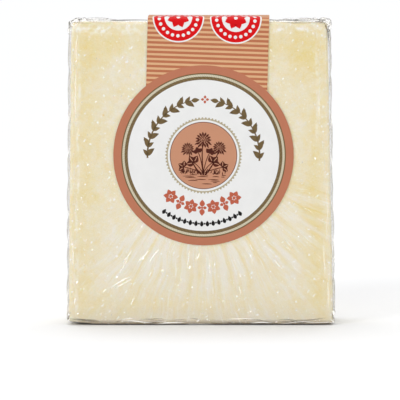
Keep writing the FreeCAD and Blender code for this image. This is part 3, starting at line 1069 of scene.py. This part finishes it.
def face_part(number):
    """The round face as rings, each with its colour, whose spokes meet the tail's columns."""
    columns, arc = tail_columns()
    shared = np.arctan2(arc, columns)[::-1]
    rest = 2 * math.pi + shared[0] - shared[-1]
    angles = np.concatenate([shared, shared[-1] + rest * np.arange(1, 160) / 160])
    radii, kinds = [0.0], []
    for name, edge in FACE_RINGS:
        count = max(1, round((edge - radii[-1]) / 1.6))
        radii.extend(np.linspace(radii[-1], edge, count + 1)[1:])
        kinds += [number[name]] * count
    spokes = len(angles)
    points = [[(0.0, 0.0)], *(on_circle(radius, angles) for radius in radii[1:])]
    faces = [(0, 1 + n, 1 + (n + 1) % spokes) for n in range(spokes)]
    faces += (quads(len(kinds), spokes)[:, [0, 3, 2, 1]] + 1).tolist()
    return (np.concatenate(points), faces), np.repeat(kinds, spokes).tolist()


def tail_part(number):
    """The striped tail, from the face's edge over the top and down the back."""
    columns, arc = tail_columns()
    folded = (PROFILE.front - 1.5, 2 * PROFILE.middle - PROFILE.front + 1.5)
    heights, kinds = [], []
    low = STRIPE_START
    while low < TAIL_END + 1:
        for share, name in ((LIGHT_SHARE, "stripe_light"), (1 - LIGHT_SHARE, "stripe_dark")):
            high = low + share * STRIPE_PITCH
            parts = 3 if folded[0] < low < folded[1] else 1
            heights.extend(np.linspace(low, high, parts + 1)[:-1])
            kinds += [number[name]] * parts
            low = high
    rows = []
    for height in heights:
        row = np.maximum(height + columns * STRIPE_SLOPE, arc)
        rows.append(np.stack([columns, np.minimum(row, TAIL_END)], axis=1))
    return grid(rows), np.repeat(kinds[: len(rows) - 1], len(columns) - 1).tolist()


SPRAY = 20.1


def sprays():
    """Two leafy sprays that climb the white field from its sides and meet at the top."""
    for side in (1, -1):
        start, end = 90 - side * 94, 90 - side * 14
        arc = [at_polar(SPRAY, degrees) for degrees in np.linspace(start, end, 44)]
        yield stroke(arc, np.linspace(0.62, 0.30, 44))
        for n in range(9):
            degrees = start + (end - start) * (n + 0.25) / 9
            out = 1 if n % 2 else -1
            for turn, size in ((out, 1.0), (-out, 0.72)):
                base = at_polar(SPRAY + 0.2 * turn, degrees)
                tip = at_polar(SPRAY + turn * 2.35 * size, degrees + side * 8.6 * size)
                yield leaf(base, tip, 1.75 * size, bend=0.12 * turn * side)
            yield moved(polar(0, 0.36, 1, 14), at_polar(SPRAY + out * 1.75, degrees + side * 6.4))
        yield leaf(at_polar(SPRAY, end), at_polar(SPRAY, end + side * 8.5), 1.6)


def rosette(radius, petals, turn=0.0, fine=1):
    """A flower of pointed petals, each a shape of its own."""
    for n in range(petals):
        angle = turn + 360 / petals * n
        base, tip = at_polar(0.22 * radius, angle), at_polar(radius, angle)
        yield leaf(base, tip, 0.62 * radius, along=8 * fine, across=2 * fine)


def bold_row():
    """The bold row under the picture: lozenges and flowers in turn."""
    flower = [*rosette(2.65, 6, 90), polar(0, 0.55, 1, 16)]
    lozenges = []
    for out in (-1, 1):
        lozenges.append(leaf((0, 0.35 * out), (0, 2.9 * out), 1.9))
        lozenges.append(leaf((0.35 * out, 0), (1.7 * out, 0), 1.1))
    lozenges.append(polar(0, 0.42, 1, 14))
    for n in range(-3, 4):
        for shape in flower if n % 2 else lozenges:
            yield moved(shape, at_polar(18.8, 270 + n * 12.4), math.radians(n * 12.4))


def fine_row():
    """The fine row below it: small lozenges with dots between them."""
    for n in range(-14, 15):
        shape = polar(0, 0.34, 1, 14) if n % 2 else leaf((0, -1.05), (0, 1.05), 1.3)
        yield moved(shape, at_polar(24.55, 270 + n * 2.4), math.radians(n * 2.4))


def curve(start, pull, end, count=18):
    """A path from start to end, bent towards the point pull."""
    share = np.linspace(0, 1, count)[:, None]
    start, pull, end = (np.array(p) for p in (start, pull, end))
    return (1 - share) ** 2 * start + 2 * share * (1 - share) * pull + share**2 * end


def ground():
    """The ground in the picture: broken strokes that stay inside the disc, and grass."""
    draw = np.random.default_rng(301).uniform
    for height in np.arange(-10.2, -6.1, 0.52):
        reach = math.sqrt(11.2**2 - height**2) - 0.4
        x = -reach + draw(0, 1.5)
        while x < reach - 1:
            end = min(x + draw(1.2, 4.5), reach)
            bow = height + draw(-0.15, 0.25)
            path = curve((x, height), ((x + end) / 2, bow + 0.2), (end, height), 9)
            if draw() < 0.62:
                yield stroke(path, 0.26 * np.sin(np.linspace(0.2, 2.9, 9)) + 0.04)
            x = end + draw(0.3, 1.6)
    for _ in range(40):
        x, foot = draw(-8.6, 8.6), -6.5 + draw(-0.6, 0.3)
        tip = (x + draw(-0.8, 0.8), foot + draw(0.8, 2.3))
        yield leaf((x, foot), tip, 0.30, bend=draw(-0.2, 0.2))


# the clover's leaves: where their three parts meet, which way they point, and their size
CLOVER_LEAVES = (
    ((-3.4, -2.7), 128, 2.9),
    ((3.3, -2.5), 50, 2.9),
    ((-6.9, -4.3), 152, 2.3),
    ((7.0, -4.1), 28, 2.3),
    ((-2.0, 1.2), 110, 1.9),
    ((2.2, 1.0), 66, 2.0),
)
LEAF_SPREAD = (-64, 0, 64)


def clover():
    """The picture's plant: a clover with three flower heads and its leaves in threes."""
    for foot, pull, head, size in (
        (0.1, (-0.9, 0.5), (-0.2, 5.6), 2.9),
        (-0.6, (-4.6, -3.0), (-5.7, 2.3), 2.3),
        (0.8, (4.4, -2.6), (5.6, 2.9), 2.4),
    ):
        yield stroke(curve((foot, -6.9), pull, head), np.linspace(0.55, 0.30, 18))
        for ring, count, inner in ((1.0, 15, 0.50), (0.70, 11, 0.25), (0.38, 6, 0.05)):
            for n in range(count):
                angle = 360 / count * (n + 0.5 * (ring < 0.9))
                near = head + at_polar(inner * size, angle)
                yield leaf(near, head + at_polar(ring * size, angle), 0.24 * size * ring)
        for spread in (-150, -125, -55, -30):
            tip = head + at_polar(1.25 * size, spread)
            yield leaf(head + at_polar(0.7 * size, spread), tip, 0.5)
    for at, turn, size in CLOVER_LEAVES:
        yield stroke(curve((0.0, -6.6), (at[0] * 0.4, at[1] * 0.75 - 1.8), at), 0.30)
        for spread in LEAF_SPREAD:
            yield leaf(at, at + at_polar(size, turn + spread), 0.80 * size, along=10)


def leaf_veins():
    """Fine light veins on the clover's four larger leaves."""
    for at, turn, size in CLOVER_LEAVES[:4]:
        for spread in LEAF_SPREAD:
            near, far = (at + at_polar(share * size, turn + spread) for share in (0.25, 0.82))
            yield stroke([near, (near + far) / 2, far], 0.26)


def toothed_ring(inner, base, tip, teeth):
    """A ring with small teeth all round its outside."""
    number = np.arange(teeth * 4)
    angles = number * 2 * math.pi / len(number)
    outer = np.where(number % 4 < 2, tip, base)
    points = [on_circle(radius, angles) for radius in (inner, outer)]
    return np.concatenate(points), quads(2, len(number)).tolist()


def hatch(inner, outer, count, width, lean):
    """Fine slanting strokes round a ring."""
    for n in range(count):
        degrees = 360 / count * n
        yield stroke([at_polar(inner, degrees), at_polar(outer, degrees + lean)], width)


ROUNDEL_AT = (10.27, 49.5)
ROUNDEL_RED, ROUNDEL_EDGE = 8.76, 9.26


def roundels(sheet, number):
    """Two red discs on the tail's fold, each with a white border, dots and a flower."""
    white, red = number["paper"], number["red"]
    rings = [*np.linspace(0, 5.0, 16), *np.linspace(5.0, ROUNDEL_RED, 13)[1:], ROUNDEL_EDGE]
    kinds = [white] * 15 + [red] * 12 + [white]
    shapes = [polar(inner, outer, 1, 150) for inner, outer in zip(rings, rings[1:])]
    parts = [(shape, [kind] * len(shape[1])) for shape, kind in zip(shapes, kinds)]
    disc, numbers = joined(*parts)
    for side in (-1, 1):
        at = np.array([side * ROUNDEL_AT[0], ROUNDEL_AT[1]])
        sheet.ink(moved(disc, at), numbers)
        for n in range(22):
            dot = at + at_polar(6.9, 360 / 22 * (n + 0.5))
            sheet.ink(moved(polar(0, 0.62, 3, 16), dot), white, 2)
        for petal in rosette(4.1, 8, 22.5, 2):
            sheet.ink(moved(petal, at), red, 5)
        sheet.ink(moved(polar(0, 1.25, 4, 30), at), red, 6)
        sheet.ink(moved(polar(0, 0.70, 3, 20), at), white, 7)


FACE_RINGS = (
    ("picture", 11.85),
    ("engraving", 12.08),
    ("paper", 27.15),
    ("bronze", 28.30),
    ("cream", 29.10),
    ("bronze", 29.52),
    ("terracotta", FACE_RADIUS),
)

INKS = {
    "paper": (236, 236, 235),
    "stripe_dark": (186, 115, 82),
    "stripe_light": (222, 176, 133),
    "terracotta": (188, 120, 92),
    "bronze": (116, 96, 64),
    "bronze_light": (138, 119, 86),
    "cream": (214, 207, 184),
    "cream_shade": (186, 176, 146),
    "gold": (180, 168, 140),
    "picture": (200, 144, 114),
    "engraving": (84, 38, 28),
    "black": (30, 27, 26),
    "red": (216, 8, 16),
    "bold": (190, 98, 74),
}


def make_label():
    """The printed label. Each colour is a field of its own."""
    materials = [ink_material(name, screen) for name, screen in INKS.items()]
    number = {name: n for n, name in enumerate(INKS)}
    sheet = Print()
    outline, numbers = joined(face_part(number), tail_part(number))
    sheet.plate(outline, 0, PAPER, numbers, number["paper"])
    for name, level, shapes in (
        ("cream_shade", 1, hatch(28.34, 29.06, 220, 0.17, 1.2)),
        ("bronze_light", 1, hatch(27.3, 28.2, 130, 0.20, 2.2)),
        ("gold", 1, [toothed_ring(12.82, 13.25, 13.72, 70)]),
        ("bronze", 1, sprays()),
        ("bold", 1, bold_row()),
        ("bold", 1, (moved(petal, at_polar(SPRAY, 90)) for petal in rosette(1.5, 4))),
        ("black", 1, fine_row()),
        ("engraving", 1, ground()),
        ("engraving", 1, clover()),
        ("picture", 2, leaf_veins()),
    ):
        for shape in shapes:
            sheet.ink(shape, number[name], level)
    roundels(sheet, number)

    points = np.concatenate(sheet.points)
    piece = new_piece(
        "paper_label", "label", points, sheet.faces, "label_paper", materials, sheet.numbers, smooth=False
    )
    mesh = bmesh.new()
    mesh.from_mesh(piece.data)
    bmesh.ops.recalc_face_normals(mesh, faces=mesh.faces)
    mesh.to_mesh(piece.data)
    mesh.free()


# ---------------------------------------------------------------- stage

FLOOR_COLOUR = (0.925, 0.93, 0.94, 1.0)
FLOOR_HALF = 40.0


def make_floor():
    nodes = Nodes("floor")
    mesh = bpy.data.meshes.new("floor")
    corners = [(x * FLOOR_HALF, y * FLOOR_HALF, 0) for x, y in ((-1, -1), (1, -1), (1, 1), (-1, 1))]
    mesh.from_pydata(corners, [], [(0, 1, 2, 3)])
    mesh.materials.append(nodes.finish(nodes.principled(FLOOR_COLOUR, 1.0, Specular_IOR_Level=0.0)))
    placed("floor", mesh)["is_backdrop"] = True


def aimed(made, place, target):
    made.location = place
    made.rotation_mode = "QUATERNION"
    made.rotation_quaternion = (Vector(target) - Vector(place)).to_track_quat("-Z", "Y")


def make_lights(middle):
    """White surroundings, two soft suns, and three small lamps that glint in the film."""
    world = bpy.data.worlds.new("studio")
    world.use_nodes = True
    background = world.node_tree.nodes["Background"]
    background.inputs["Color"].default_value = (1.0, 1.0, 1.0, 1.0)
    background.inputs["Strength"].default_value = 0.60
    bpy.context.scene.world = world
    for name, kind, place, energy, wide in (
        ("overhead", "SUN", (-0.06, 0.22, 1.0), 1.28, math.radians(40)),
        ("key", "SUN", (-0.65, -0.70, 0.55), 0.50, math.radians(14)),
        ("glint_left", "AREA", (-0.50, -0.95, 0.15), 0.35, 0.10),
        ("glint_right", "AREA", (0.45, -0.85, 0.60), 0.35, 0.10),
        ("glint_top", "AREA", (-0.15, -0.80, 0.75), 0.35, 0.12),
    ):
        light = bpy.data.lights.new(name, kind)
        light.energy = energy
        setattr(light, "angle" if kind == "SUN" else "size", wide)
        aimed(placed(name, light), place, (0, 0, 0) if kind == "SUN" else middle)


CAMERA_RISE = math.radians(4.5)
CAMERA_DISTANCE = 1.0
VIEW_WIDTH = 143.6 * MM
AIM_RIGHT, AIM_HEIGHT = -0.36 * MM, 0.4066
SENSOR = 36.0


def make_camera():
    """In front of the label and a little above, with the view's middle under half height."""
    low, high = cad_bounds
    aim = Vector((AIM_RIGHT, low.y, AIM_HEIGHT * high.z))
    away = Vector((0, -math.cos(CAMERA_RISE), math.sin(CAMERA_RISE)))
    data = bpy.data.cameras.new("camera")
    data.sensor_width = SENSOR
    data.lens = SENSOR * CAMERA_DISTANCE / VIEW_WIDTH
    data.clip_start = 0.05
    camera = placed("camera", data)
    aimed(camera, aim + away * CAMERA_DISTANCE, aim)
    bpy.context.scene.camera = camera


def main():
    make_cheese()
    make_film()
    make_label()
    make_floor()
    low, high = cad_bounds
    make_lights((low + high) / 2)
    make_camera()
    bpy.context.scene.view_settings.view_transform = "Standard"
    bpy.context.scene.cycles.transparent_max_bounces = 24
    both = {"cad": cad_bounds, "visual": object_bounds()}
    {name: [list(corner) for corner in box] for name, box in both.items()}


main()
